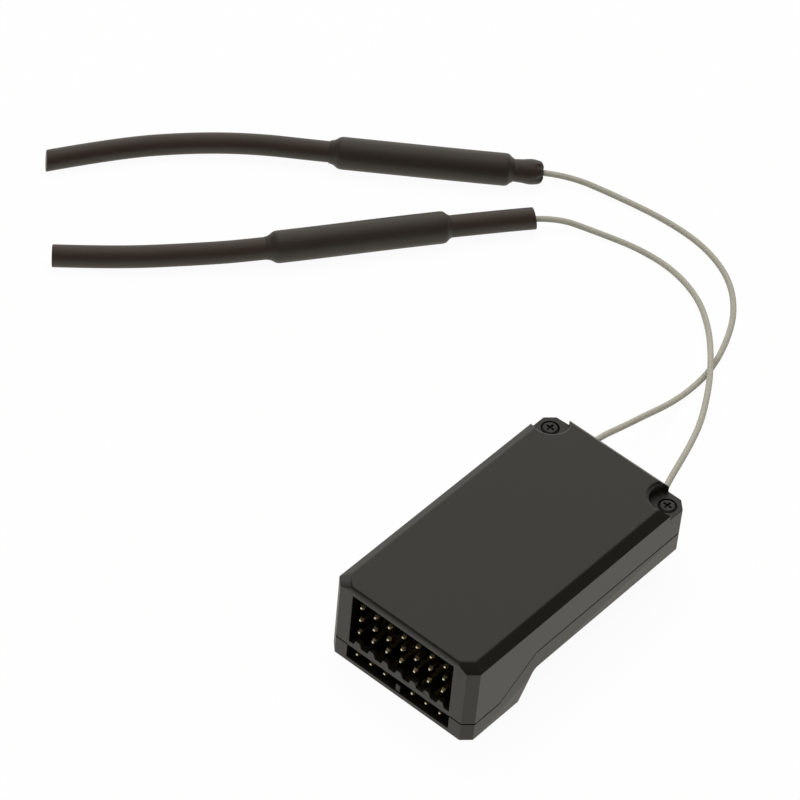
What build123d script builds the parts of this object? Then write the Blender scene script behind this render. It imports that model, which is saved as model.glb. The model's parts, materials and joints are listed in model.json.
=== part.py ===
import os
from math import atan2, cos, degrees, pi, radians, sqrt, tan

from build123d import *

os.makedirs("parts", exist_ok=True)

# A small radio receiver, in millimetres. X runs across the case, -Y is the connector
# face, +Y the rear wall that the aerial leads leave, and Z is up from the underside.

# Walls
wall = 1.2
roof = 1.2
floor = 0.75
rear_floor = 0.9
step_wall = 1.2
case_side = 4.01
corner_cut = 1.36
side_bevel_run = 1.5
side_bevel_drop = 1.1
front_bevel_run = 0.35
front_bevel_drop = 0.55
rear_bevel_run = 0.95
rear_bevel_drop = 0.95

# Connector field: three stacked rows of pins above a bar, two short groups below it
pin_pitch = 2.54
servo_columns = 7
servo_rows = ("ground", "power", "signal")
lower_columns = 3
pin_size = 0.64
pin_point = 0.5
pin_bevel = 0.18
pin_setback = 0.1
pin_fit = 0.02
plug_depth = 6.2
header_depth = 2.54
header_notch = 0.5
header_clearance = 0.2
lower_seat = 0.4
lower_headroom = 0.94
bar_height = 0.84
servo_seat = 1.58
opening_lip = 0.05
upper_opening_side = 0.31
lower_opening_side = 0.51
tooth_width = 1.4
tooth_top_width = 0.75
tooth_height = 0.88
tooth_depth = 0.9
divider_width = 0.8
divider_height = 1.45
divider_depth = 2.4
divider_setback = 0.15

# Connector board, upright behind the headers
board_thickness = 0.8
board_gap = 0.3
pin_hole = 0.98
hole_sides = 8
pin_tail = 1.1
guide_width = 0.7
guide_reach = 0.9
guide_slack = 0.05

# Main board, flat along the case, and the link between the boards
main_board_setback = 1.7
link_drop = 1.12
link_body = 2.2
link_pin = 0.5
link_foot = 1.0
post_radius = 1.0
post_height = 0.85
post_inset = 3.4
post_behind_step = 4.5
post_before_rear = 10.0

# Board components
part_gap = 0.4
board_edge = 0.5
chip_thickness = 0.9
chip_stand_off = 0.1
foot_reach = 0.9
foot_sheet = 0.15
foot_width = 0.35
controller_size = 7.0
controller_thickness = 1.2
controller_feet = 7
foot_pitch = 0.8
crystal_width = 3.2
crystal_length = 5.0
regulator_width = 3.5
regulator_length = 6.5
regulator_height = 1.6
regulator_feet_pitch = 2.3
capacitor_length = 3.5
capacitor_width = 2.8
capacitor_height = 1.9
shield_gap = 1.96
shield_width = 13.0
shield_length = 12.0
shield_height = 2.4
shield_sheet = 0.2
vent_radius = 0.5
vent_pitch = 3.5
radio_chip_size = 5.0

# Aerial leads and their board plugs
lead_diameter = 0.95
lead_rise = 0.9
lead_beside_column = 1.44
lead_straight = 1.1
lead_hole_clearance = 0.12
socket_gap = 2.2
socket_size = 2.6
socket_base = 0.35
socket_ring_radius = 1.0
socket_ring_height = 1.0
plug_inset = 6.2
plug_radius = 1.4
plug_height = 1.35
plug_wall = 0.3
plug_clearance = 0.03
barrel_length = 1.9
barrel_radius = 0.75

# Underside, deep under the connectors and stepped up behind them
step_clearance = 1.36
step_run = 3.0
step_round = 1.5
step_foot_round = 0.6

# Parting line, low at the connectors and high at the rear, with a fine groove along it
parting_run_start = 6.6
parting_run_end = 14.0
lip_thickness = 0.55
lip_height = 0.8
lip_clearance = 0.08
lip_setback = 0.5
seam_width = 0.24
seam_depth = 0.16

# How far a cut runs on past the outside of the case
overrun = 1.0

# Rear screws and their corner pockets
screw_side = 2.06
screw_inset = 2.3
pocket_radius = 2.8
pocket_depth = 1.95
pocket_floor = 1.2
pocket_wall = 0.8
boss_radius = 2.2
head_radius = 1.2
head_height = 0.8
head_clearance = 0.2
head_proud = 0.1
shank_radius = 0.7
shank_point = 0.25
shank_bite = 2.35
shank_clearance = 0.15
thread_fit = 0.02
thread_room = 0.3
head_ease = 0.2
cross_length = 1.4
cross_width = 0.36
cross_depth = 0.45

# Aerials
tube_diameter = 3.3
tube_wall = 0.5
tube_seal = 2.0
sleeve_diameter = 5.2
sleeve_fit = 0.03
sleeve_lip = 0.15
sleeve_taper = 0.85
choke_margin = 2.0
choke_fit = 0.05
core_fit = 0.03
radiator_diameter = 0.5
radiator_share = 0.75

# Heights, stacked up from the underside through the rows of pins
lower_row = floor + lower_seat + pin_pitch / 2
parting_low = lower_row + lower_headroom
upper_opening_bottom = parting_low + bar_height
servo_low_row = upper_opening_bottom + servo_seat + pin_pitch / 2
servo_mid_row = servo_low_row + pin_pitch
servo_top_row = servo_low_row + (len(servo_rows) - 1) * pin_pitch
ceiling = servo_top_row + pin_pitch / 2 + header_clearance
case_height = ceiling + roof
upper_opening_top = ceiling - opening_lip
link_row = servo_low_row + pin_pitch / 2
main_board_top = link_row - link_drop
main_board_bottom = main_board_top - board_thickness
shallow_floor = main_board_bottom - post_height
step_rise = shallow_floor - rear_floor
lead_height = main_board_top + lead_rise
parting_high = lead_height
pocket_z = case_height - pocket_depth
head_seat = pocket_z - head_height + head_proud
shank_end = parting_high - shank_bite

# Lengths, stacked up from the connector face through both boards to the rear wall
parts_bay = part_gap + regulator_length + part_gap + capacitor_width + shield_gap
front_stack = pin_setback + plug_depth + header_depth + board_thickness
link_stack = main_board_setback + link_body + link_foot
case_length = front_stack + link_stack + parts_bay + shield_length + socket_gap + plug_inset
front = -case_length / 2
rear = case_length / 2
pin_start = front + pin_setback
header_face = pin_start + plug_depth
board_face = header_face + header_depth
board_back = board_face + board_thickness
main_board_front = board_back + main_board_setback
main_board_rear = rear - wall - board_gap
link_end = main_board_front + link_body + link_foot
parts_row = link_end + part_gap
capacitor_y = parts_row + regulator_length + part_gap + capacitor_width / 2
shield_y = link_end + parts_bay + shield_length / 2
plug_y = rear - plug_inset
barrel_end = plug_y + plug_radius + barrel_length
screw_y = rear - screw_inset
step_foot = board_back + step_clearance
front_posts_y = step_foot + step_run + post_behind_step
rear_posts_y = main_board_rear - post_before_rear
lip_start = front + parting_run_end + lip_setback

# Widths, from the field of pins out to the sides and from the board's edge inwards
field_width = servo_columns * pin_pitch
case_width = field_width + 2 * case_side
half_width = case_width / 2
inner_width = case_width - 2 * wall
board_width = inner_width - 2 * board_gap
upper_opening_width = field_width + 2 * upper_opening_side
lower_opening_width = field_width + 2 * lower_opening_side
group_offset = (servo_columns - lower_columns) * pin_pitch / 2
link_count = servo_columns - 1
screw_x = half_width - screw_side
lead_x = screw_x - boss_radius - lead_beside_column
regulator_reach = regulator_width / 2 + foot_reach
controller_reach = controller_size / 2 + foot_reach
regulator_x = board_width / 2 - board_edge - regulator_reach
crystal_x = regulator_x - regulator_reach - part_gap - crystal_width / 2
controller_x = crystal_x - crystal_width / 2 - part_gap - controller_reach

# Round sections
lead_radius = lead_diameter / 2
tube_radius = tube_diameter / 2
tube_bore = tube_radius - tube_wall
sleeve_radius = sleeve_diameter / 2
sleeve_bore = tube_radius + sleeve_fit

parting_line = [
    (front - overrun, parting_low),
    (front + parting_run_start, parting_low),
    (front + parting_run_end, parting_high),
    (rear + overrun, parting_high),
]

# Routes of the leads, from the board plug to just inside the mouth of the aerial's tube.
# They are laid out by hand: down from the rear wall, along the surface, the right one over the left.
left_lead_route = [
    (-lead_x, barrel_end, lead_height),
    (-lead_x, rear + lead_straight, lead_height),
    (-7.2, 28.9, 7.95),
    (-7.2, 34.6, 5.95),
    (-7.25, 40.4, 4.1),
    (-7.35, 46.1, 2.05),
    (-7.7, 51.6, 0.65),
    (-8.1, 57.2, 0.48),
    (-10.0, 63.45, 0.48),
    (-13.25, 69.85, 0.48),
    (-18.45, 75.05, 0.48),
    (-25.4, 77.85, 0.48),
    (-33.2, 78.25, 0.48),
    (-41.45, 76.85, 0.75),
    (-50.4, 74.0, 1.77),
    (-53.91, 70.21, 2.38),
]
right_lead_route = [
    (lead_x, barrel_end, lead_height),
    (lead_x, rear + lead_straight, lead_height),
    (5.55, 28.9, 8.1),
    (3.9, 34.2, 7.6),
    (1.95, 39.4, 6.35),
    (-0.1, 44.05, 5.2),
    (-2.6, 48.6, 4.4),
    (-5.5, 53.3, 3.7),
    (-9.1, 58.2, 2.9),
    (-13.35, 63.25, 1.6),
    (-18.8, 68.0, 0.6),
    (-25.5, 70.4, 0.48),
    (-32.6, 70.25, 0.48),
    (-39.1, 68.15, 0.85),
    (-45.15, 65.07, 2.1),
    (-47.98, 61.19, 2.25),
]

# Centre lines of the aerial tubes, from the mouth to the sealed free end. The thick sleeve and
# the choke lie on the second run, the sleeve from the given distance along it.
left_tube_route = [
    (-52.9, 71.3, 2.2),
    (-55.18, 68.84, 2.6),
    (-80.25, 50.1, 2.6),
    (-88.45, 44.35, 2.4),
    (-95.6, 37.9, 2.14),
    (-103.2, 28.9, 1.88),
    (-109.2, 18.9, 1.65),
]
left_sleeve_from_bend = 1.6
left_sleeve_length = 28.3
left_mouth_bend = 10.0
right_tube_route = [
    (-47.1, 62.4, 2.2),
    (-54.56, 52.17, 2.6),
    (-72.7, 26.05, 2.6),
    (-79.2, 18.6, 2.28),
    (-86.6, 10.7, 1.92),
    (-93.8, 4.4, 1.65),
]
right_sleeve_from_bend = 0.8
right_sleeve_length = 28.5
right_mouth_bend = 40.0
sleeve_end_bend = 45.0

# Outline of the sleeve's shrunk ends, as shares of the taper's length and of its rise
sleeve_shoulder = [(0.3, 0.12), (0.7, 0.88), (1, 1)]


def write(piece, name):
    piece.part.label = name
    export_step(piece.part, f"parts/{name}.step")


def outline_inside(inset):
    """Plan of the case with its cut corners, moved in by inset."""
    with BuildSketch() as plan:
        Rectangle(case_width, case_length)
        chamfer(plan.vertices(), corner_cut)
        if inset:
            offset(amount=-inset, kind=Kind.INTERSECTION)
    return plan.sketch


def underside(lift, slope_lift, rear_lift):
    """Points under the case, rear to front, moved in by a wall of each stretch's own thickness."""
    slope = atan2(step_rise, step_run)
    shift = slope_lift / cos(slope)
    foot = step_foot + (lift - shift) / tan(slope)
    top = step_foot + (step_rise + rear_lift - shift) / tan(slope)
    return [
        (rear + overrun, step_rise + rear_lift),
        (top, step_rise + rear_lift),
        (foot, lift),
        (front - overrun, lift),
    ]


def corner_radii(points):
    """Largest easy arc at each corner of a route: 0.45 of its shorter run over tan(half turn)."""
    radii = []
    for before, here, after in zip(points, points[1:], points[2:]):
        run_in = Vector(*here) - Vector(*before)
        run_out = Vector(*after) - Vector(*here)
        half_turn = radians(run_in.get_angle(run_out) / 2)
        radii.append(0.45 * min(run_in.length, run_out.length) / tan(half_turn))
    return radii


def round_rod(points, radii, radius):
    """Round rod along straight runs joined by tangent arcs."""
    with BuildPart() as rod:
        with BuildLine() as route:
            FilletPolyline(*points, radius=radii)
        with BuildSketch(Plane(route.line @ 0, z_dir=route.line % 0)):
            Circle(radius)
        sweep()
    return rod.part


def straight_tube(start, end, outer, inner):
    with BuildPart() as tube:
        with BuildSketch(Plane(start, z_dir=end - start)):
            Circle(outer)
            Circle(inner, mode=Mode.SUBTRACT)
        extrude(amount=(end - start).length)
    return tube.part


def block(centre, size_x, size_y, bottom, height, edge=0):
    """Plain moulded block on a board, with its upper edges eased."""
    with BuildPart() as body:
        with BuildSketch(Plane.XY.offset(bottom)):
            with Locations(centre):
                Rectangle(size_x, size_y)
        extrude(amount=height)
        if edge:
            chamfer(body.edges().group_by(Axis.Z)[-1], edge)
    return body.part


def bevel(point, normal):
    """Slice off what lies beyond a plane."""
    split(bisect_by=Plane(point, z_dir=normal), keep=Keep.BOTTOM)


# Outer form of the closed case
with BuildPart() as case_body:
    with BuildSketch():
        add(outline_inside(0))
    extrude(amount=case_height)
    for side in (-1, 1):
        bevel(
            (side * half_width, 0, case_height - side_bevel_drop),
            (side * side_bevel_drop, 0, side_bevel_run),
        )
        for end in (-1, 1):
            bevel(
                (
                    side * (half_width - corner_cut / 2),
                    end * (rear - corner_cut / 2),
                    case_height - side_bevel_drop,
                ),
                (side * side_bevel_drop / sqrt(2), end * side_bevel_drop / sqrt(2), side_bevel_run),
            )
    bevel((0, front, case_height - front_bevel_drop), (0, -front_bevel_drop, front_bevel_run))
    bevel((0, rear, case_height - rear_bevel_drop), (0, rear_bevel_drop, rear_bevel_run))
    with BuildSketch(Plane.YZ) as below:
        with BuildLine():
            Polyline(
                *underside(0, 0, 0),
                (front - overrun, -overrun),
                (rear + overrun, -overrun),
                close=True,
            )
        make_face()
        levels = below.vertices().group_by(Axis.Y)
        fillet(levels[2].sort_by(Axis.X)[0], step_round)
        fillet(levels[1].sort_by(Axis.X)[-1], step_foot_round)
    extrude(amount=case_width, both=True, mode=Mode.SUBTRACT)

# Room inside the case, above a floor that steps up with the underside
with BuildPart() as case_room:
    with BuildSketch():
        add(outline_inside(wall))
    extrude(amount=case_height)
    with BuildSketch(Plane.YZ):
        with BuildLine():
            Polyline(
                *underside(floor, step_wall, rear_floor),
                (front - overrun, ceiling),
                (rear + overrun, ceiling),
                close=True,
            )
        make_face()
    extrude(amount=case_width, both=True, mode=Mode.INTERSECT)

# Case walls round that room, with ribs on the sides that stand before and behind the connector board
with BuildPart() as case_walls:
    add(case_body.part)
    add(case_room.part, mode=Mode.SUBTRACT)
    with BuildSketch(Plane.XY.offset(floor)):
        for y in (board_face - guide_slack - guide_width / 2, board_back + guide_slack + guide_width / 2):
            with Locations((-inner_width / 2, y), (inner_width / 2, y)):
                Rectangle(2 * guide_reach, guide_width)
    extrude(amount=ceiling - floor)


def lip_ring(outer_inset, height, start):
    """Lip along the high part of the joint, inside the walls, from start to the rear."""
    with BuildPart() as ring:
        with BuildSketch(Plane.XY.offset(parting_high)):
            add(outline_inside(outer_inset))
            add(outline_inside(wall), mode=Mode.SUBTRACT)
            with Locations((0, (start + rear) / 2)):
                Rectangle(case_width, rear - start, mode=Mode.INTERSECT)
        extrude(amount=height)
    return ring.part


def rear_columns(radius, bottom, top):
    """Round columns at the two rear screws, kept inside the case's outline."""
    with BuildPart() as pair:
        with BuildSketch(Plane.XY.offset(bottom)):
            with Locations((-screw_x, screw_y), (screw_x, screw_y)):
                Circle(radius)
            add(outline_inside(0), mode=Mode.INTERSECT)
        extrude(amount=top - bottom)
    return pair.part


# Fine groove round the outside, where the shells meet
with BuildPart() as seam:
    with BuildSketch(Plane.YZ):
        with BuildLine():
            Polyline(
                *[(y, z - seam_width / 2) for y, z in parting_line],
                *[(y, z + seam_width / 2) for y, z in reversed(parting_line)],
                close=True,
            )
        make_face()
    extrude(amount=case_width, both=True)
    with BuildSketch():
        add(outline_inside(seam_depth))
        with Locations((0, front)):
            Rectangle(lower_opening_width, 2 * wall)
    extrude(amount=case_height, mode=Mode.SUBTRACT)

# Both leads pass the rear wall in round holes, half in each shell
with BuildPart() as lead_holes:
    with BuildSketch(Plane.XZ.offset(-rear - overrun)):
        with Locations((-lead_x, lead_height), (lead_x, lead_height)):
            Circle(lead_radius + lead_hole_clearance)
    extrude(amount=wall + 2 * overrun)

with BuildPart() as top_shell:
    add(case_walls.part)
    with BuildSketch(Plane.YZ):
        with BuildLine():
            Polyline(
                *parting_line,
                (rear + overrun, case_height + overrun),
                (front - overrun, case_height + overrun),
                close=True,
            )
        make_face()
    extrude(amount=case_width, both=True, mode=Mode.INTERSECT)
    # Upper pin opening and the seven teeth on the bar below it
    with BuildSketch(Plane.XZ.offset(-front)):
        with Locations((0, upper_opening_bottom)):
            Rectangle(
                upper_opening_width,
                upper_opening_top - upper_opening_bottom,
                align=(Align.CENTER, Align.MIN),
            )
    extrude(amount=-2 * wall, mode=Mode.SUBTRACT)
    with BuildSketch(Plane.XZ.offset(-front)):
        with Locations((0, upper_opening_bottom)):
            with GridLocations(pin_pitch, 1, servo_columns, 1):
                Trapezoid(
                    tooth_width,
                    tooth_height,
                    degrees(atan2(tooth_height, (tooth_width - tooth_top_width) / 2)),
                    align=(Align.CENTER, Align.MIN),
                )
    extrude(amount=-tooth_depth)
    # Corner pockets with a floor, a column under it and a sunk seat for the screw head
    add(rear_columns(pocket_radius + pocket_wall, pocket_z - pocket_floor, ceiling))
    add(rear_columns(boss_radius, parting_high, pocket_z - pocket_floor))
    with Locations((-screw_x, screw_y, pocket_z), (screw_x, screw_y, pocket_z)):
        Cylinder(
            pocket_radius,
            2 * pocket_depth,
            align=(Align.CENTER, Align.CENTER, Align.MIN),
            mode=Mode.SUBTRACT,
        )
        CounterBoreHole(
            shank_radius + shank_clearance,
            head_radius + head_clearance,
            head_height - head_proud,
            case_height,
        )
    add(
        lip_ring(
            wall - lip_thickness - lip_clearance,
            lip_height + lip_clearance,
            lip_start - lip_clearance,
        ),
        mode=Mode.SUBTRACT,
    )
    add(lead_holes.part, mode=Mode.SUBTRACT)
    add(seam.part, mode=Mode.SUBTRACT)
write(top_shell, "top_shell")

with BuildPart() as bottom_shell:
    add(case_walls.part)
    with BuildSketch(Plane.YZ):
        with BuildLine():
            Polyline(*parting_line, (rear + overrun, -overrun), (front - overrun, -overrun), close=True)
        make_face()
    extrude(amount=case_width, both=True, mode=Mode.INTERSECT)
    # Lower pin opening, closed above by the upper shell's bar, and its divider post
    with BuildSketch(Plane.XZ.offset(-front)):
        with Locations((0, floor)):
            Rectangle(lower_opening_width, parting_low, align=(Align.CENTER, Align.MIN))
    extrude(amount=-2 * wall, mode=Mode.SUBTRACT)
    with BuildSketch(Plane.XZ.offset(-front - divider_setback)):
        with Locations((0, floor)):
            Rectangle(divider_width, divider_height, align=(Align.CENTER, Align.MIN))
    extrude(amount=-divider_depth)
    # Columns for the screws and posts for the main board
    add(rear_columns(boss_radius, shallow_floor, parting_high))
    with BuildSketch(Plane.XY.offset(shallow_floor)):
        for y in (front_posts_y, rear_posts_y):
            with Locations((-inner_width / 2 + post_inset, y), (inner_width / 2 - post_inset, y)):
                Circle(post_radius)
    extrude(amount=main_board_bottom - shallow_floor)
    with Locations((-screw_x, screw_y, parting_high), (screw_x, screw_y, parting_high)):
        Hole(shank_radius + thread_fit, shank_bite + thread_room)
    add(lip_ring(wall - lip_thickness, lip_height, lip_start))
    add(lead_holes.part, mode=Mode.SUBTRACT)
    add(seam.part, mode=Mode.SUBTRACT)
write(bottom_shell, "bottom_shell")

# Rear screws, with a cross recess in a flat eased head
for side, name in ((-1, "rear_screw_left"), (1, "rear_screw_right")):
    with BuildPart() as screw:
        with BuildSketch(Plane.XY.offset(head_seat)):
            with Locations((side * screw_x, screw_y)):
                Circle(head_radius)
        extrude(amount=head_height)
        chamfer(screw.edges().group_by(Axis.Z)[-1], head_ease)
        with BuildSketch(Plane.XY.offset(head_seat)):
            with Locations((side * screw_x, screw_y)):
                Circle(shank_radius)
        extrude(amount=shank_end - head_seat)
        chamfer(screw.edges().group_by(Axis.Z)[0], shank_point)
        with BuildSketch(Plane.XY.offset(head_seat + head_height)):
            with Locations((side * screw_x, screw_y)):
                Rectangle(cross_length, cross_width)
                Rectangle(cross_width, cross_length)
        extrude(amount=-cross_depth, mode=Mode.SUBTRACT)
    write(screw, name)


def header(x, z, columns, rows, name):
    """Black pin block with a small notch between neighbouring cells."""
    with BuildPart() as body:
        with BuildSketch(Plane.XZ.offset(-header_face)):
            with Locations((x, z)):
                Rectangle(columns * pin_pitch, rows * pin_pitch)
                with GridLocations(pin_pitch, rows * pin_pitch, columns + 1, 2):
                    RegularPolygon(header_notch, 4, rotation=45, mode=Mode.SUBTRACT)
                with GridLocations(pin_pitch, pin_pitch, columns, rows):
                    Rectangle(pin_size + 2 * pin_fit, pin_size + 2 * pin_fit, mode=Mode.SUBTRACT)
        extrude(amount=-header_depth)
    write(body, name)


header(0, servo_mid_row, servo_columns, len(servo_rows), "servo_header")
header(-group_offset, lower_row, lower_columns, 1, "lower_header_left")
header(group_offset, lower_row, lower_columns, 1, "lower_header_right")


def pin(x, z, name):
    """Square gold pin with tapered ends, from the connector face to behind its board."""
    with BuildPart() as body:
        with BuildSketch(Plane.XZ.offset(-pin_start)):
            with Locations((x, z)):
                Rectangle(pin_size, pin_size)
        extrude(amount=-(board_back + pin_tail - pin_start))
        for end in (0, -1):
            tip = body.faces().sort_by(Axis.Y)[end]
            chamfer(tip.edges(), length=pin_bevel, length2=pin_point, reference=tip)
    write(body, name)


for column in range(servo_columns):
    for row, role in enumerate(servo_rows):
        x = (column - (servo_columns - 1) / 2) * pin_pitch
        pin(x, servo_low_row + row * pin_pitch, f"servo_pin_{column + 1}_{role}")

lower_xs = [side * group_offset + (i - 1) * pin_pitch for side in (-1, 1) for i in range(lower_columns)]
for i, x in enumerate(lower_xs):
    pin(x, lower_row, f"lower_pin_{i + 1}")

# Upright connector board, drilled for every pin, standing on the floor between its guides
with BuildPart() as connector_board:
    with BuildSketch(Plane.XZ.offset(-board_face)):
        with Locations((0, floor)):
            Rectangle(board_width, ceiling - board_gap - floor, align=(Align.CENTER, Align.MIN))
        with Locations((0, servo_mid_row)):
            with GridLocations(pin_pitch, pin_pitch, servo_columns, len(servo_rows)):
                RegularPolygon(pin_hole / 2, hole_sides, mode=Mode.SUBTRACT)
        with Locations(*[(x, lower_row) for x in lower_xs]):
            RegularPolygon(pin_hole / 2, hole_sides, mode=Mode.SUBTRACT)
    extrude(amount=-board_thickness)
write(connector_board, "connector_board")

# Main board, cut back round the rear columns, resting on its posts
with BuildPart() as main_board:
    with BuildSketch(Plane.XY.offset(main_board_bottom)):
        with Locations((0, (main_board_front + main_board_rear) / 2)):
            Rectangle(board_width, main_board_rear - main_board_front)
        with Locations((-screw_x, screw_y), (screw_x, screw_y)):
            Circle(boss_radius + board_gap, mode=Mode.SUBTRACT)
    extrude(amount=board_thickness)
write(main_board, "main_board")

# Angled strip that ties the boards together, its pins between those of the servo rows
with BuildPart() as board_link:
    with BuildSketch(Plane.XY.offset(main_board_top)):
        with Locations((0, main_board_front + link_body / 2)):
            Rectangle(link_count * pin_pitch, link_body)
    extrude(amount=link_body)
    with BuildSketch(Plane.XZ.offset(-board_back)):
        with Locations((0, link_row)):
            with GridLocations(pin_pitch, 1, link_count, 1):
                Rectangle(link_pin, link_pin)
    extrude(amount=-(main_board_setback + link_body + link_foot))
    with BuildSketch(Plane.XY.offset(main_board_top)):
        with Locations((0, main_board_front + link_body + link_foot - link_pin / 2)):
            with GridLocations(pin_pitch, 1, link_count, 1):
                Rectangle(link_pin, link_pin)
    extrude(amount=link_row - main_board_top)
write(board_link, "board_link")

# Tin shield over the radio stage: a folded can, open below, with a row of vents
with BuildPart() as rf_shield:
    with BuildSketch(Plane.XY.offset(main_board_top)):
        with Locations((0, shield_y)):
            Rectangle(shield_width, shield_length)
    extrude(amount=shield_height)
    with BuildSketch(Plane.XY.offset(main_board_top)):
        with Locations((0, shield_y)):
            Rectangle(shield_width - 2 * shield_sheet, shield_length - 2 * shield_sheet)
    extrude(amount=shield_height - shield_sheet, mode=Mode.SUBTRACT)
    with BuildSketch(Plane.XY.offset(main_board_top)):
        with Locations((0, shield_y)):
            with GridLocations(vent_pitch, vent_pitch, 3, 2):
                Circle(vent_radius)
    extrude(amount=2 * shield_height, mode=Mode.SUBTRACT)
write(rf_shield, "rf_shield")

with BuildPart() as radio_chip:
    add(block((0, shield_y), radio_chip_size, radio_chip_size, main_board_top, chip_thickness, foot_sheet))
write(radio_chip, "radio_chip")

# Controller with its rows of feet along four sides
controller_place = (controller_x, parts_row + controller_reach)
with BuildPart() as controller_chip:
    add(
        block(
            controller_place,
            controller_size,
            controller_size,
            main_board_top + chip_stand_off,
            controller_thickness,
            foot_sheet,
        )
    )
    with BuildSketch(Plane.XY.offset(main_board_top)):
        with Locations(controller_place):
            with GridLocations(foot_pitch, 1, controller_feet, 1):
                Rectangle(foot_width, controller_size + 2 * foot_reach)
            with GridLocations(1, foot_pitch, 1, controller_feet):
                Rectangle(controller_size + 2 * foot_reach, foot_width)
    extrude(amount=foot_sheet)
write(controller_chip, "controller_chip")

crystal_place = (crystal_x, parts_row + crystal_length / 2)
with BuildPart() as clock_crystal:
    add(block(crystal_place, crystal_width, crystal_length, main_board_top, chip_thickness, foot_sheet))
write(clock_crystal, "clock_crystal")

# Regulator with one broad tab and three narrow feet
regulator_place = (regulator_x, parts_row + regulator_length / 2)
with BuildPart() as voltage_regulator:
    add(
        block(
            regulator_place,
            regulator_width,
            regulator_length,
            main_board_top + chip_stand_off,
            regulator_height,
            foot_sheet,
        )
    )
    with BuildSketch(Plane.XY.offset(main_board_top)):
        with Locations(regulator_place):
            Rectangle(regulator_reach, regulator_length / 2, align=(Align.MAX, Align.CENTER))
            with GridLocations(1, regulator_feet_pitch, 1, 3):
                Rectangle(regulator_reach, 2 * foot_width, align=(Align.MIN, Align.CENTER))
    extrude(amount=foot_sheet)
write(voltage_regulator, "voltage_regulator")

for x, name in ((crystal_x, "input_capacitor"), (regulator_x, "output_capacitor")):
    place = (x, capacitor_y)
    with BuildPart() as capacitor:
        add(block(place, capacitor_length, capacitor_width, main_board_top, capacitor_height, foot_sheet))
    write(capacitor, name)

# Board sockets of the leads and the plugs that clip over them
for side, name in ((-1, "left"), (1, "right")):
    x = side * lead_x
    with BuildPart() as coax_socket:
        add(block((x, plug_y), socket_size, socket_size, main_board_top, socket_base))
        with BuildSketch(Plane.XY.offset(main_board_top + socket_base)):
            with Locations((x, plug_y)):
                Circle(socket_ring_radius)
                Circle(socket_ring_radius - plug_wall, mode=Mode.SUBTRACT)
        extrude(amount=socket_ring_height - socket_base)
    write(coax_socket, f"{name}_coax_socket")
    with BuildPart() as coax_plug:
        with BuildSketch(Plane.XY.offset(main_board_top + socket_base)):
            with Locations((x, plug_y)):
                Circle(plug_radius)
        extrude(amount=plug_height - socket_base)
        with BuildSketch(Plane.XZ.offset(-(plug_y + socket_size / 2 + plug_clearance))):
            with Locations((x, lead_height)):
                Circle(barrel_radius)
        extrude(amount=-(barrel_end - plug_y - socket_size / 2 - plug_clearance))
        with BuildSketch(Plane.XY.offset(main_board_top + socket_base)):
            with Locations((x, plug_y)):
                Circle(socket_ring_radius + plug_clearance)
        extrude(amount=socket_ring_height - socket_base + plug_clearance, mode=Mode.SUBTRACT)
    write(coax_plug, f"{name}_coax_plug")

# Leads and aerials. The lead's stripped core runs on inside the tube, through the metal choke
# under the thick sleeve, and ends in a bare wire near the free end.
for name, lead_route, tube_route, from_bend, sleeve_length, mouth_bend in (
    (
        "left",
        left_lead_route,
        left_tube_route,
        left_sleeve_from_bend,
        left_sleeve_length,
        left_mouth_bend,
    ),
    (
        "right",
        right_lead_route,
        right_tube_route,
        right_sleeve_from_bend,
        right_sleeve_length,
        right_mouth_bend,
    ),
):
    radii = corner_radii(lead_route)
    with BuildPart() as lead:
        add(round_rod(lead_route, radii, lead_radius))
    write(lead, f"{name}_lead")
    section = lead.part.volume / (pi * lead_radius**2)
    runs = sum((Vector(*b) - Vector(*a)).length for a, b in zip(lead_route, lead_route[1:]))
    print(name, "lead length", round(section, 1), "of runs", round(runs, 1))
    print(name, "lead radii", [round(r, 1) for r in radii])

    far_bends = [sleeve_end_bend, *corner_radii(tube_route[2:])]
    bends = [mouth_bend, *far_bends]
    last_corner = Vector(*tube_route[-2])
    last_run = Vector(*tube_route[-1]) - last_corner
    bore_end = last_corner + last_run.normalized() * (last_run.length - tube_seal)
    with BuildPart() as tube:
        add(round_rod(tube_route, bends, tube_radius))
        add(round_rod([*tube_route[:-1], tuple(bore_end)], bends, tube_bore), mode=Mode.SUBTRACT)
    write(tube, f"{name}_antenna_tube")

    axis_start = Vector(*tube_route[1])
    along = (Vector(*tube_route[2]) - axis_start).normalized()
    sleeve_start = axis_start + along * from_bend
    sleeve_end = sleeve_start + along * sleeve_length
    profile = Plane(sleeve_start, x_dir=along, z_dir=Vector(0, 0, 1).cross(along))
    lip = sleeve_bore + sleeve_lip
    near_end = [
        (length * sleeve_taper, lip + rise * (sleeve_radius - lip)) for length, rise in sleeve_shoulder
    ]
    far_end = [(sleeve_length - length, radius) for length, radius in reversed(near_end)]
    with BuildPart() as sleeve:
        with BuildSketch(profile):
            with BuildLine():
                Polyline(
                    (0, sleeve_bore),
                    (0, lip),
                    *near_end,
                    *far_end,
                    (sleeve_length, lip),
                    (sleeve_length, sleeve_bore),
                    close=True,
                )
            make_face()
        revolve(axis=Axis(sleeve_start, along))
    write(sleeve, f"{name}_antenna_sleeve")

    choke_start = sleeve_start + along * choke_margin
    choke_end = sleeve_end - along * choke_margin
    with BuildPart() as choke:
        add(straight_tube(choke_start, choke_end, tube_bore - choke_fit, lead_radius + core_fit))
    write(choke, f"{name}_antenna_choke")

    wire_end = last_corner + last_run * radiator_share
    with BuildPart() as core:
        add(
            round_rod(
                [lead_route[-1], tube_route[1], tuple(choke_end)],
                [mouth_bend],
                lead_radius,
            )
        )
        add(
            round_rod(
                [tuple(choke_end), *tube_route[2:-1], tuple(wire_end)],
                far_bends,
                radiator_diameter / 2,
            )
        )
    write(core, f"{name}_antenna_core")
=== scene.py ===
import bisect
import json
import math

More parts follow.
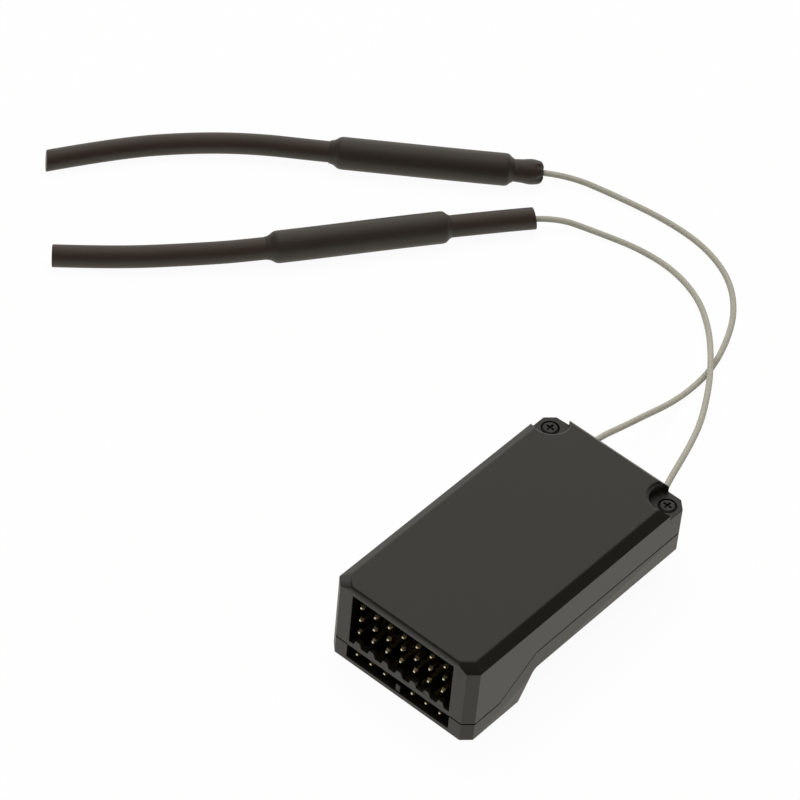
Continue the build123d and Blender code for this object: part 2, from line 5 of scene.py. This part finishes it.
import bmesh
import bpy
from mathutils import Matrix, Vector
from mathutils.geometry import intersect_point_line


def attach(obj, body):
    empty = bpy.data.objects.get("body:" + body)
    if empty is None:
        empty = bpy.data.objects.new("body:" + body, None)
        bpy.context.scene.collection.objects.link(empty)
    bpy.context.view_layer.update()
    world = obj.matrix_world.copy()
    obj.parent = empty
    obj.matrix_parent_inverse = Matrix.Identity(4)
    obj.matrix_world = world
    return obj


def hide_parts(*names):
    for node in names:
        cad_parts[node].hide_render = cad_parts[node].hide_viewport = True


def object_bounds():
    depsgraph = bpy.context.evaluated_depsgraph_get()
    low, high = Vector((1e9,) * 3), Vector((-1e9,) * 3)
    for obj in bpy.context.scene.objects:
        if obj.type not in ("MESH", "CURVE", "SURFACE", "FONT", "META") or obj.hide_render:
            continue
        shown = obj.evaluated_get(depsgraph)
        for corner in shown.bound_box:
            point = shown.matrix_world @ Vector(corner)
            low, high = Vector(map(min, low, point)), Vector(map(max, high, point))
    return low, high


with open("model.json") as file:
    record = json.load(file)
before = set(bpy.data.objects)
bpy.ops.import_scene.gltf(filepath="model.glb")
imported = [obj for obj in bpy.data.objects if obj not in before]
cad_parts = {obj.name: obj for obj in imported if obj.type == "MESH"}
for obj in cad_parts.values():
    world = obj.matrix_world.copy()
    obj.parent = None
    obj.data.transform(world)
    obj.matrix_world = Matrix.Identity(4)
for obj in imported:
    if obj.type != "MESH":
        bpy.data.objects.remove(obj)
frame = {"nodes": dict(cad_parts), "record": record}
nodes = frame["nodes"]
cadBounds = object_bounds()
print("frame loaded:", len(nodes), "nodes")


# A value inside a material: arithmetic on it adds the Math nodes that it takes
class Value:
    def __init__(self, finish, socket):
        self.finish = finish
        self.socket = socket

    def calc(self, operation, first, second):
        return self.finish.add("ShaderNodeMath", {"operation": operation}, {0: first, 1: second})

    def __add__(self, other):
        return self.calc("ADD", self, other)

    def __radd__(self, other):
        return self.calc("ADD", other, self)

    def __sub__(self, other):
        return self.calc("SUBTRACT", self, other)

    def __mul__(self, other):
        return self.calc("MULTIPLY", self, other)

    def __pow__(self, other):
        return self.calc("POWER", self, other)


# The nodes of one material, or of the room's world. add() makes any node from its type,
# its settings and the values of its sockets.
class Finish:
    def __init__(self, name, library=bpy.data.materials):
        self.material = library.new(name)
        self.material.use_nodes = True
        self.tree = self.material.node_tree
        self.tree.nodes.clear()
        self.place = self.add("ShaderNodeTexCoord", out="Object")

    def add(self, kind, settings=None, values=None, out=0):
        node = self.tree.nodes.new(kind)
        for key, setting in (settings or {}).items():
            setattr(node, key, setting)
        for key, value in (values or {}).items():
            if isinstance(value, Value):
                self.tree.links.new(value.socket, node.inputs[key])
            else:
                node.inputs[key].default_value = value
        return None if out is None else Value(self, node.outputs[out])

    # Noise whose grain is given as a real size in metres
    def grain(self, size, detail=2.0, stretch=(1, 1, 1)):
        spot = self.add("ShaderNodeMapping", {}, {"Vector": self.place, "Scale": stretch})
        return self.add("ShaderNodeTexNoise", {}, {"Vector": spot, "Scale": 1 / size, "Detail": detail})

    # From the first colour to the second as the share goes from 0 to 1
    def blend(self, first, second, share):
        return self.add("ShaderNodeMix", {"data_type": "RGBA"}, {0: share, 6: first, 7: second}, out=2)

    # Turns a height in metres into a normal
    def relief(self, height, depth):
        return self.add("ShaderNodeBump", {}, {"Height": height, "Distance": depth, "Strength": 1.0})

    # From 0 to 1 as a value goes from the first limit to the second
    def ramp(self, value, limits):
        values = {"Value": value, "From Min": limits[0], "From Max": limits[1]}
        return self.add("ShaderNodeMapRange", {}, values)

    # One output of Light Path, such as "Is Camera Ray"
    def seenBy(self, ray):
        return self.add("ShaderNodeLightPath", out=ray)

    # The finished material. A socket's name has _ for each space.
    def surface(self, **values):
        named = {key.replace("_", " "): value for key, value in values.items()}
        shader = self.add("ShaderNodeBsdfPrincipled", {}, named)
        self.add("ShaderNodeOutputMaterial", {}, {"Surface": shader}, out=None)
        return self.material


def colour(red, green, blue):
    return (red, green, blue, 1.0)


# Finishes: sizes and depths are in metres, a spread is how far noise moves the roughness, and
# index is the index of refraction

# Moulded case plastic: a fine even spark texture, slightly polished by handling
casePlastic = {
    "colour": colour(0.0085, 0.0072, 0.0045),
    "paler": colour(0.0105, 0.009, 0.006),
    "sparkSize": 0.00022,
    "sparkDepth": 0.0000025,
    "cloudSize": 0.009,
    "roughness": 0.44,
    "roughnessSpread": 0.03,
    "index": 1.5,
}


def makeCasePlastic(values, name):
    finish = Finish(name)
    spark = finish.grain(values["sparkSize"], detail=3.0)
    cloud = finish.grain(values["cloudSize"], detail=3.0)
    rough = values["roughness"] + (cloud - 0.5) * values["roughnessSpread"]
    return finish.surface(
        Base_Color=finish.blend(values["colour"], values["paler"], cloud),
        Roughness=rough,
        Normal=finish.relief(spark, values["sparkDepth"]),
        IOR=values["index"],
    )


# Pin blocks and chips: plain dark moulding, a little rougher than the case
darkMoulding = {
    "header": colour(0.006, 0.0055, 0.005),
    "chip": colour(0.03, 0.03, 0.032),
    "grainSize": 0.0003,
    "grainDepth": 0.000003,
    "roughness": 0.55,
    "roughnessSpread": 0.12,
    "index": 1.5,
}


def makeMoulding(values, tint, name):
    finish = Finish(name)
    grain = finish.grain(values["grainSize"])
    return finish.surface(
        Base_Color=values[tint],
        Roughness=values["roughness"] + (grain - 0.5) * values["roughnessSpread"],
        Normal=finish.relief(grain, values["grainDepth"]),
        IOR=values["index"],
    )


# Gold plated pins, with the fine draw lines of square wire
goldPlate = {
    "colour": colour(0.8, 0.72, 0.5),
    "dull": colour(0.7, 0.6, 0.4),
    "lineSize": 0.0001,
    "lineStretch": (1, 0.06, 1),
    "roughness": 0.2,
    "roughnessSpread": 0.1,
}


def makeGold(values):
    finish = Finish("goldPlate")
    lines = finish.grain(values["lineSize"], stretch=values["lineStretch"])
    return finish.surface(
        Base_Color=finish.blend(values["dull"], values["colour"], lines),
        Metallic=1.0,
        Roughness=values["roughness"] + lines * values["roughnessSpread"],
    )


# Blackened steel screws, worn a little brighter in spots. The power keeps the worn spots few.
blackSteel = {
    "colour": colour(0.02, 0.019, 0.017),
    "worn": colour(0.075, 0.07, 0.062),
    "wornPower": 3.0,
    "blotchSize": 0.0006,
    "blotchDepth": 0.000004,
    "metal": 0.35,
    "roughness": 0.38,
    "roughnessSpread": 0.15,
}


def makeBlackSteel(values):
    finish = Finish("blackSteel")
    blotch = finish.grain(values["blotchSize"], detail=4.0)
    return finish.surface(
        Base_Color=finish.blend(values["colour"], values["worn"], blotch ** values["wornPower"]),
        Metallic=values["metal"],
        Roughness=values["roughness"] + blotch * values["roughnessSpread"],
        Normal=finish.relief(blotch, values["blotchDepth"]),
    )


# Board laminate under green solder mask, with the weave of the glass showing faintly
boardLaminate = {
    "mask": colour(0.012, 0.07, 0.028),
    "lighter": colour(0.02, 0.1, 0.045),
    "weaveSize": 0.0007,
    "weaveDepth": 0.000004,
    "weaveContrast": 2.0,
    "acrossStretch": (1, 0.08, 0.08),
    "alongStretch": (0.08, 1, 1),
    "roughness": 0.3,
    "index": 1.5,
}


def makeBoard(values):
    finish = Finish("boardLaminate")
    across = finish.grain(values["weaveSize"], stretch=values["acrossStretch"])
    along = finish.grain(values["weaveSize"], stretch=values["alongStretch"])
    weave = across * along * values["weaveContrast"]
    return finish.surface(
        Base_Color=finish.blend(values["mask"], values["lighter"], weave),
        Roughness=values["roughness"],
        Normal=finish.relief(across + along, values["weaveDepth"]),
        IOR=values["index"],
    )


# Tin plated sheet and cans
tinPlate = {
    "colour": colour(0.62, 0.61, 0.58),
    "spangleSize": 0.0012,
    "spangleDepth": 0.000004,
    "roughness": 0.28,
    "roughnessSpread": 0.2,
}


def makeTin(values):
    finish = Finish("tinPlate")
    spangle = finish.grain(values["spangleSize"], detail=4.0)
    return finish.surface(
        Base_Color=values["colour"],
        Metallic=1.0,
        Roughness=values["roughness"] + (spangle - 0.5) * values["roughnessSpread"],
        Normal=finish.relief(spangle, values["spangleDepth"]),
    )


# Fired ceramic of the block capacitors
firedCeramic = {
    "colour": colour(0.34, 0.22, 0.11),
    "darker": colour(0.24, 0.15, 0.075),
    "grainSize": 0.0004,
    "roughness": 0.42,
    "index": 1.6,
}


def makeCeramic(values):
    finish = Finish("firedCeramic")
    grain = finish.grain(values["grainSize"])
    return finish.surface(
        Base_Color=finish.blend(values["darker"], values["colour"], grain),
        Roughness=values["roughness"],
        IOR=values["index"],
    )


# Grey fluoropolymer jacket of the thin coaxial leads, slightly waxy
leadJacket = {
    "colour": colour(0.43, 0.415, 0.345),
    "shade": colour(0.37, 0.355, 0.29),
    "stainSize": 0.004,
    "roughness": 0.42,
    "index": 1.35,
}


def makeLeadJacket(values):
    finish = Finish("leadJacket")
    stain = finish.grain(values["stainSize"], detail=3.0)
    return finish.surface(
        Base_Color=finish.blend(values["shade"], values["colour"], stain),
        Roughness=values["roughness"],
        IOR=values["index"],
    )


# Flexible tube and shrink sleeve of the aerials: satin dark brown black
aerialTube = {
    "colour": colour(0.0305, 0.0205, 0.0152),
    "paler": colour(0.0355, 0.0242, 0.0182),
    "cloudSize": 0.006,
    "skinSize": 0.0004,
    "skinDepth": 0.000006,
    "roughness": 0.5,
    "roughnessSpread": 0.12,
    "index": 1.5,
}
shrinkSleeve = {
    "colour": colour(0.0275, 0.0205, 0.0152),
    "paler": colour(0.0315, 0.0232, 0.0175),
    "cloudSize": 0.005,
    "skinSize": 0.0007,
    "skinDepth": 0.00001,
    "roughness": 0.5,
    "roughnessSpread": 0.12,
    "index": 1.5,
}


def makeTubeSkin(values, name):
    finish = Finish(name)
    cloud = finish.grain(values["cloudSize"], detail=3.0)
    skin = finish.grain(values["skinSize"], detail=3.0)
    return finish.surface(
        Base_Color=finish.blend(values["colour"], values["paler"], cloud),
        Roughness=values["roughness"] + (cloud - 0.5) * values["roughnessSpread"],
        Normal=finish.relief(skin, values["skinDepth"]),
        IOR=values["index"],
    )


# White insulation of the stripped core
coreInsulation = {
    "colour": colour(0.72, 0.71, 0.67),
    "grainSize": 0.0005,
    "roughness": 0.4,
    "roughnessSpread": 0.1,
    "index": 1.35,
}


def makeInsulation(values):
    finish = Finish("coreInsulation")
    grain = finish.grain(values["grainSize"])
    return finish.surface(
        Base_Color=values["colour"],
        Roughness=values["roughness"] + (grain - 0.5) * values["roughnessSpread"],
        IOR=values["index"],
    )


# The finish of each material slot of the record
slotFinish = {
    "case": makeCasePlastic(casePlastic, "casePlastic"),
    "header": makeMoulding(darkMoulding, "header", "headerMoulding"),
    "chip": makeMoulding(darkMoulding, "chip", "chipMoulding"),
    "pin_gold": makeGold(goldPlate),
    "screw": makeBlackSteel(blackSteel),
    "board": makeBoard(boardLaminate),
    "tin": makeTin(tinPlate),
    "capacitor": makeCeramic(firedCeramic),
    "lead_jacket": makeLeadJacket(leadJacket),
    "antenna_tube": makeTubeSkin(aerialTube, "aerialTube"),
    "antenna_sleeve": makeTubeSkin(shrinkSleeve, "shrinkSleeve"),
    "core_insulation": makeInsulation(coreInsulation),
}
for part in frame["record"]["subparts"]:
    for slot in nodes[part["node"]].material_slots:
        slot.material = slotFinish[part["material_slot"]]


# Moulded shells: the rim of the top face is rounded, most where it drops straight down. Sharp
# edges below it are only just broken where there is room for it, and stay sharp elsewhere. Each
# round of the rim is the least angle between the faces that it takes, and its radius.
shells = {
    "rimRounds": [(math.radians(60), 0.0006), (math.radians(20), 0.0002)],
    "rimSteps": 3,
    "rimProfile": 0.5,
    "edgeEase": 0.00008,
    "easeSteps": 2,
    "sharpFrom": math.radians(35),
    "roomFor": 0.00025,
    "flatWithin": math.radians(0.5),
    "near": 0.000002,
}
edgeSpots = (0.0, 0.25, 0.5, 0.75, 1.0)


# Whether nothing else in a face comes nearer to an edge than the room that easing it takes,
# measured from a few spots along the edge
def hasRoom(edge, face, room):
    spots = [edge.verts[0].co.lerp(edge.verts[1].co, share) for share in edgeSpots]
    for other in face.edges:
        if other == edge:
            continue
        if set(other.verts) & set(edge.verts):
            if other.calc_length() < room:
                return False
            continue
        first, second = [vert.co for vert in other.verts]
        for spot in spots:
            share = intersect_point_line(spot, first, second)[1]
            if (first.lerp(second, min(max(share, 0.0), 1.0)) - spot).length < room:
                return False
    return True


def makeShell(name, values):
    mesh = nodes[name].data.copy()
    form = bmesh.new()
    form.from_mesh(mesh)
    bmesh.ops.remove_doubles(form, verts=form.verts, dist=values["near"])
    bmesh.ops.dissolve_limit(form, angle_limit=values["flatWithin"], verts=form.verts, edges=form.edges)
    rimHeight = cadBounds[1][2] - values["near"]
    for angle, radius in values["rimRounds"]:
        rim = [
            edge
            for edge in form.edges
            if edge.calc_face_angle(0) > angle and min(vert.co.z for vert in edge.verts) > rimHeight
        ]
        bmesh.ops.bevel(
            form,
            geom=rim,
            offset=radius,
            segments=values["rimSteps"],
            profile=values["rimProfile"],
            affect="EDGES",
        )
    # A weight marks the edges that are eased
    weight = form.edges.layers.float.new("bevel_weight_edge")
    for edge in form.edges:
        sharp = edge.calc_face_angle(0) > values["sharpFrom"]
        low = max(vert.co.z for vert in edge.verts) < rimHeight - values["edgeEase"]
        clear = edge.calc_length() > values["roomFor"]
        clear = clear and all(hasRoom(edge, face, values["roomFor"]) for face in edge.link_faces)
        eased = sharp and low and clear
        edge[weight] = float(eased)
        edge.smooth = eased or not sharp
    for face in form.faces:
        face.smooth = True
    form.to_mesh(mesh)
    form.free()
    shell = bpy.data.objects.new(f"rounded_{name}", mesh)
    bpy.context.scene.collection.objects.link(shell)
    ease = shell.modifiers.new("eased", "BEVEL")
    ease.width = values["edgeEase"]
    ease.segments = values["easeSteps"]
    ease.limit_method = "WEIGHT"
    ease.use_clamp_overlap = False
    ease.loop_slide = False
    even = shell.modifiers.new("evened", "WEIGHTED_NORMAL")
    even.keep_sharp = True
    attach(shell, "root")
    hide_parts(name)


makeShell("top_shell", shells)
makeShell("bottom_shell", shells)
print("shells rounded")


splineSteps = 12


# A smooth line that follows the places of a route, which are in metres
def makeSpline(name, route):
    curve = bpy.data.curves.new(name, "CURVE")
    curve.dimensions = "3D"
    curve.resolution_u = splineSteps
    spline = curve.splines.new("NURBS")
    spline.points.add(len(route) - 1)
    for point, place in zip(spline.points, route):
        point.co = (*place, 1.0)
    spline.order_u = 3
    spline.use_endpoint_u = True
    return curve


# The same line to measure along: at() gives the place at a distance from its start, and its direction
class Line:
    def __init__(self, name, route):
        curve = makeSpline(name, route)
        carrier = bpy.data.objects.new(name, curve)
        mesh = bpy.data.meshes.new_from_object(carrier)
        self.points = [vert.co.copy() for vert in mesh.vertices]
        self.reach = [0.0]
        for first, second in zip(self.points, self.points[1:]):
            self.reach.append(self.reach[-1] + (second - first).length)
        bpy.data.objects.remove(carrier)
        bpy.data.curves.remove(curve)
        bpy.data.meshes.remove(mesh)

    def at(self, distance):
        i = min(max(bisect.bisect(self.reach, distance), 1), len(self.reach) - 1)
        step = self.points[i] - self.points[i - 1]
        along = step.normalized()
        return self.points[i - 1] + along * (distance - self.reach[i - 1]), along


roundSteps = 72


# A skin of rings along a line. A ring is its distance, its radius, how deep its folds cut in and
# how far it slants, both as a share of the radius. Lean is the side to which the rings slant.
def makeSkin(name, line, rings, slotName, folds=None, lean=0.0):
    form = bmesh.new()
    loops = []
    for distance, radius, *rest in rings:
        depth, slant = (*rest, 0.0, 0.0)[:2]
        place, along = line.at(distance)
        side = along.cross(Vector((0, 0, 1))).normalized()
        lift = side.cross(along)
        loop = []
        for i in range(roundSteps):
            turn = math.tau * i / roundSteps
            valley = max(0.0, math.cos(folds["count"] * (turn - folds["turn"]))) if folds else 0.0
            out = radius * (1 - depth * valley)
            back = radius * slant * math.cos(turn - lean)
            outward = side * math.cos(turn) + lift * math.sin(turn)
            loop.append(form.verts.new(place + along * back + outward * out))
        loops.append(loop)
    for first, second in zip(loops, loops[1:]):
        for i in range(roundSteps):
            form.faces.new((first[i - 1], first[i], second[i], second[i - 1]))
    form.faces.new(reversed(loops[0]))
    form.faces.new(loops[-1])
    bmesh.ops.recalc_face_normals(form, faces=form.faces)
    for face in form.faces:
        face.smooth = len(face.verts) == 4
    mesh = bpy.data.meshes.new(name)
    form.to_mesh(mesh)
    form.free()
    mesh.materials.append(slotFinish[slotName])
    piece = bpy.data.objects.new(name, mesh)
    bpy.context.scene.collection.objects.link(piece)
    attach(piece, "root")
    return piece


# Aerials: a plain flexible tube under a shrunk sleeve. The left tube's mouth is gathered in folds
# round the lead, the right one's is cut nearly straight. Each place, distance and radius is in
# metres. A shoulder is one end of a sleeve, as distances in from that end and radii, and girth
# scales these radii. A sleeve is its start along the tube and its length. A cut end is distances
# from the tube's end and shares of its radius.
aerials = {
    "ringStep": 0.0012,
    "cutEnd": [(-0.00012, 1.0), (-0.00002, 0.976), (0.0, 0.92), (0.0, 0.48)],
    "shoulderNear": [
        (0.00025, 0.00166),
        (0.00006, 0.00174),
        (0.0, 0.00182),
        (0.00004, 0.00189),
        (0.0002, 0.00197),
        (0.0004, 0.0021),
        (0.0006, 0.00228),
        (0.0008, 0.00246),
        (0.001, 0.00255),
        (0.0014, 0.0026),
    ],
    "shoulderFar": [
        (0.00025, 0.00166),
        (0.00006, 0.00172),
        (0.0, 0.00178),
        (0.00005, 0.00183),
        (0.0004, 0.0019),
        (0.00075, 0.00202),
        (0.00105, 0.0022),
        (0.00135, 0.00242),
        (0.0017, 0.00256),
        (0.0022, 0.0026),
    ],
    "left": {
        "tubeRadius": 0.00167,
        "girth": 0.9865,
        "route": [
            (-0.0529, 0.0713, 0.0022),
            (-0.05509, 0.06871, 0.00272),
            (-0.08015, 0.04997, 0.00266),
            (-0.08845, 0.04435, 0.0024),
            (-0.0956, 0.0379, 0.00214),
            (-0.1032, 0.0289, 0.00188),
            (-0.1092, 0.0189, 0.00167),
        ],
        "sleeve": (0.0046, 0.02868),
        "mouth": [
            (0.0006, 0.0005),
            (0.00012, 0.0006, 0.2),
            (0.00002, 0.0008, 0.45),
            (0.00004, 0.00115, 0.6),
            (0.00018, 0.0015, 0.56),
            (0.0004, 0.00176, 0.34),
            (0.00075, 0.0019, 0.09),
            (0.0013, 0.00198, 0.01),
            (0.0019, 0.002),
            (0.0026, 0.00193),
            (0.0033, 0.00183),
            (0.0041, 0.00179),
            (0.0052, 0.00174),
        ],
        "folds": {"count": 6, "turn": math.radians(110)},
        "endSlant": -0.24,
        "lean": math.radians(20),
    },
    "right": {
        "tubeRadius": 0.00174,
        "girth": 0.965,
        "route": [
            (-0.0471, 0.0624, 0.0023),
            (-0.05456, 0.05217, 0.00263),
            (-0.0727, 0.02605, 0.00258),
            (-0.0792, 0.0186, 0.00228),
            (-0.0866, 0.0107, 0.00198),
            (-0.0938, 0.0044, 0.00174),
        ],
        "sleeve": (0.01347, 0.02895),
        "mouth": [
            (0.0025, 0.0005),
            (0.0025, 0.00115),
            (0.0001, 0.00116, 0.0, 0.125),
            (0.0, 0.00124, 0.0, 0.125),
            (0.0, 0.00163, 0.0, 0.125),
            (0.00004, 0.00171, 0.0, 0.12),
            (0.00012, 0.00174, 0.0, 0.11),
            (0.0006, 0.00174, 0.0, 0.04),
        ],
        "folds": None,
        "endSlant": 0.0,
        "lean": math.radians(90),
    },
}


def makeTube(side, values, line):
    own = values[side]
    end = line.reach[-1]
    radius = own["tubeRadius"]
    middle = []
    distance = own["mouth"][-1][0] + values["ringStep"]
    while distance < end - values["ringStep"]:
        middle.append((distance, radius))
        distance += values["ringStep"]
    cut = [(end + back, radius * share, 0.0, own["endSlant"]) for back, share in values["cutEnd"]]
    rings = own["mouth"] + middle + cut
    tube = makeSkin(f"{side}Tube", line, rings, "antenna_tube", own["folds"], own["lean"])
    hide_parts(f"{side}_antenna_tube")


def makeSleeve(side, values, line):
    start, length = values[side]["sleeve"]
    girth = values[side]["girth"]
    near = [(start + back, radius * girth) for back, radius in values["shoulderNear"]]
    far = [(start + length - back, radius * girth) for back, radius in reversed(values["shoulderFar"])]
    between = []
    distance = near[-1][0] + values["ringStep"]
    while distance < far[0][0] - values["ringStep"] / 2:
        between.append((distance, near[-1][1]))
        distance += values["ringStep"]
    sleeve = makeSkin(f"{side}Sleeve", line, near + between + far, "antenna_sleeve")
    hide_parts(f"{side}_antenna_sleeve")
    return sleeve


for side in ("left", "right"):
    line = Line(f"{side}Tube", aerials[side]["route"])
    makeTube(side, aerials, line)
    makeSleeve(side, aerials, line)
print("aerials made")


# Aerial leads: the places that each one follows, its length and where it leaves the case, in metres
leads = {
    "left": {
        "route": [
            (-0.0072, 0.0206, 0.0081),
            (-0.0072, 0.0246, 0.0081),
            (-0.0072, 0.0289, 0.00795),
            (-0.0072, 0.0346, 0.00595),
            (-0.00725, 0.0404, 0.0041),
            (-0.00735, 0.0461, 0.00205),
            (-0.0077, 0.0516, 0.00065),
            (-0.0081, 0.0572, 0.00048),
            (-0.01, 0.06345, 0.00048),
            (-0.01325, 0.06985, 0.00048),
            (-0.01845, 0.07505, 0.00048),
            (-0.0254, 0.07785, 0.00048),
            (-0.0332, 0.07825, 0.00048),
            (-0.04145, 0.07685, 0.00075),
            (-0.0504, 0.074, 0.00177),
            (-0.05391, 0.07021, 0.00238),
        ],
        "length": 0.0967,
        "exit": (-0.0072, 0.0235, 0.0081),
    },
    "right": {
        "route": [
            (0.0072, 0.0206, 0.0081),
            (0.0072, 0.0246, 0.0081),
            (0.00555, 0.0289, 0.0081),
            (0.0039, 0.0342, 0.0076),
            (0.00195, 0.0394, 0.00635),
            (-0.0001, 0.04405, 0.0052),
            (-0.0026, 0.0486, 0.0044),
            (-0.0055, 0.0533, 0.0037),
            (-0.0091, 0.0582, 0.0029),
            (-0.01335, 0.06325, 0.0016),
            (-0.0188, 0.068, 0.0006),
            (-0.0255, 0.0704, 0.00048),
            (-0.0326, 0.07025, 0.00048),
            (-0.0391, 0.06815, 0.00085),
            (-0.04515, 0.06507, 0.0021),
            (-0.04798, 0.06119, 0.00225),
        ],
        "length": 0.0884,
        "exit": (0.0072, 0.0235, 0.0081),
    },
}
leadDiameter = 0.00095
leadRoundSteps = 6


def makeLead(side, values):
    curve = makeSpline(f"{side}Lead", values["route"])
    curve.bevel_depth = leadDiameter / 2
    curve.bevel_resolution = leadRoundSteps
    curve.use_fill_caps = True
    piece = bpy.data.objects.new(f"{side}Lead", curve)
    bpy.context.scene.collection.objects.link(piece)
    curve.materials.append(slotFinish["lead_jacket"])
    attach(piece, "root")
    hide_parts(f"{side}_lead")


for side, values in leads.items():
    makeLead(side, values)
print("leads laid")


# Studio: a white sheet under the object, one large dim softbox behind it on the left that the
# top face mirrors, a key light high above, and a dim room with a white backdrop. The backdrop's
# height and spread are parts of a direction: first where it is gone, then where it is full.
whiteGlow = {"Color": colour(1, 1, 1), "Strength": 1.0}
studio = {
    "sheetSize": 3.0,
    "sheetPaper": colour(0.9, 0.9, 0.89),
    "sheetShown": 0.95,
    "sheetGlow": colour(1.0, 0.965, 0.88),
    "roomLight": 0.08,
    "roomColour": colour(1.0, 0.97, 0.92),
    "backdropHeight": (0.55, 0.15),
    "backdropSide": (-0.57, 0.82),
    "backdropSpread": (0.35, 0.75),
    "softbox": {
        "place": (-0.5, 0.66, 0.84),
        "aim": (-0.02, 0.01, 0.0),
        "size": (1.1, 1.7),
        "watts": 5.7,
        "tint": (1.0, 0.97, 0.91),
    },
    "key": {
        "place": (-0.2, 0.0, 1.15),
        "aim": (-0.02, 0.01, 0.0),
        "size": (1.1, 1.1),
        "watts": 12.0,
        "tint": (1.0, 1.0, 1.0),
    },
}


def makeSheet(values):
    mesh = bpy.data.meshes.new("sheet")
    half = values["sheetSize"] / 2
    corners = [(-half, -half, 0), (half, -half, 0), (half, half, 0), (-half, half, 0)]
    mesh.from_pydata(corners, [], [(0, 1, 2, 3)])
    sheet = bpy.data.objects.new("sheet", mesh)
    bpy.context.scene.collection.objects.link(sheet)
    finish = Finish("sheetPaper")
    mirrored = finish.seenBy("Is Glossy Ray") + finish.seenBy("Is Transmission Ray")
    paper = finish.add("ShaderNodeBsdfDiffuse", {}, {"Color": values["sheetPaper"]})
    glow = finish.add("ShaderNodeEmission", {}, {"Color": values["sheetGlow"], "Strength": 1.0})
    white = finish.add("ShaderNodeEmission", {}, whiteGlow)
    shown = finish.seenBy("Is Camera Ray") * values["sheetShown"]
    seen = finish.add("ShaderNodeMixShader", {}, {0: shown, 1: paper, 2: white})
    mixed = finish.add("ShaderNodeMixShader", {}, {0: mirrored, 1: seen, 2: glow})
    finish.add("ShaderNodeOutputMaterial", {}, {"Surface": mixed}, out=None)
    mesh.materials.append(finish.material)


def makeLight(name, values):
    lamp = bpy.data.lights.new(name, "AREA")
    lamp.shape = "RECTANGLE"
    lamp.size, lamp.size_y = values["size"]
    lamp.energy = values["watts"]
    lamp.color = values["tint"]
    light = bpy.data.objects.new(name, lamp)
    light.location = values["place"]
    aim = Vector(values["aim"]) - Vector(values["place"])
    light.rotation_euler = aim.to_track_quat("-Z", "Y").to_euler()
    bpy.context.scene.collection.objects.link(light)
    return light


def makeRoom(values):
    room = Finish("room", bpy.data.worlds)
    dull = {"Color": values["roomColour"], "Strength": values["roomLight"]}
    dim = room.add("ShaderNodeBackground", {}, dull)
    white = room.add("ShaderNodeBackground", {}, whiteGlow)
    # The backdrop stands only behind the object and fades as it rises, so gloss mirrors it there
    direction = {"Vector": room.add("ShaderNodeTexCoord", out="Generated")}
    east, north, height = [room.add("ShaderNodeSeparateXYZ", {}, direction, out=axis) for axis in "XYZ"]
    behind = east * values["backdropSide"][0] + north * values["backdropSide"][1]
    low = room.ramp(height, values["backdropHeight"])
    near = room.ramp(behind, values["backdropSpread"])
    seen = room.seenBy("Is Camera Ray") + room.seenBy("Is Glossy Ray") * low * near
    shown = room.add("ShaderNodeMixShader", {}, {0: seen, 1: dim, 2: white})
    room.add("ShaderNodeOutputWorld", {}, {"Surface": shown}, out=None)
    bpy.context.scene.world = room.material


makeSheet(studio)
makeLight("softbox", studio["softbox"])
makeLight("key", studio["key"]).visible_glossy = False
makeRoom(studio)
bpy.context.scene.view_settings.view_transform = "Standard"
print("studio set")


# Camera: a long lens from the front right, as in the photograph
cameraView = {
    "place": (0.24557, -0.35306, 0.47738),
    "azimuth": 37.176,
    "elevation": 45.546,
    "roll": 5.576,
    "focalPixels": 4520.4,
    "framePixels": 800,
    "sensorWidth": 36.0,
    "clip": (0.01, 10.0),
}


def makeCamera(values):
    lens = bpy.data.cameras.new("photoView")
    lens.sensor_width = values["sensorWidth"]
    lens.lens = values["sensorWidth"] * values["focalPixels"] / values["framePixels"]
    lens.clip_start, lens.clip_end = values["clip"]
    camera = bpy.data.objects.new("photoView", lens)
    turn = (
        Matrix.Rotation(math.radians(values["azimuth"]), 4, "Z")
        @ Matrix.Rotation(math.radians(90 - values["elevation"]), 4, "X")
        @ Matrix.Rotation(math.radians(values["roll"]), 4, "Z")
    )
    camera.matrix_world = Matrix.Translation(values["place"]) @ turn
    bpy.context.scene.collection.objects.link(camera)
    bpy.context.scene.camera = camera


makeCamera(cameraView)
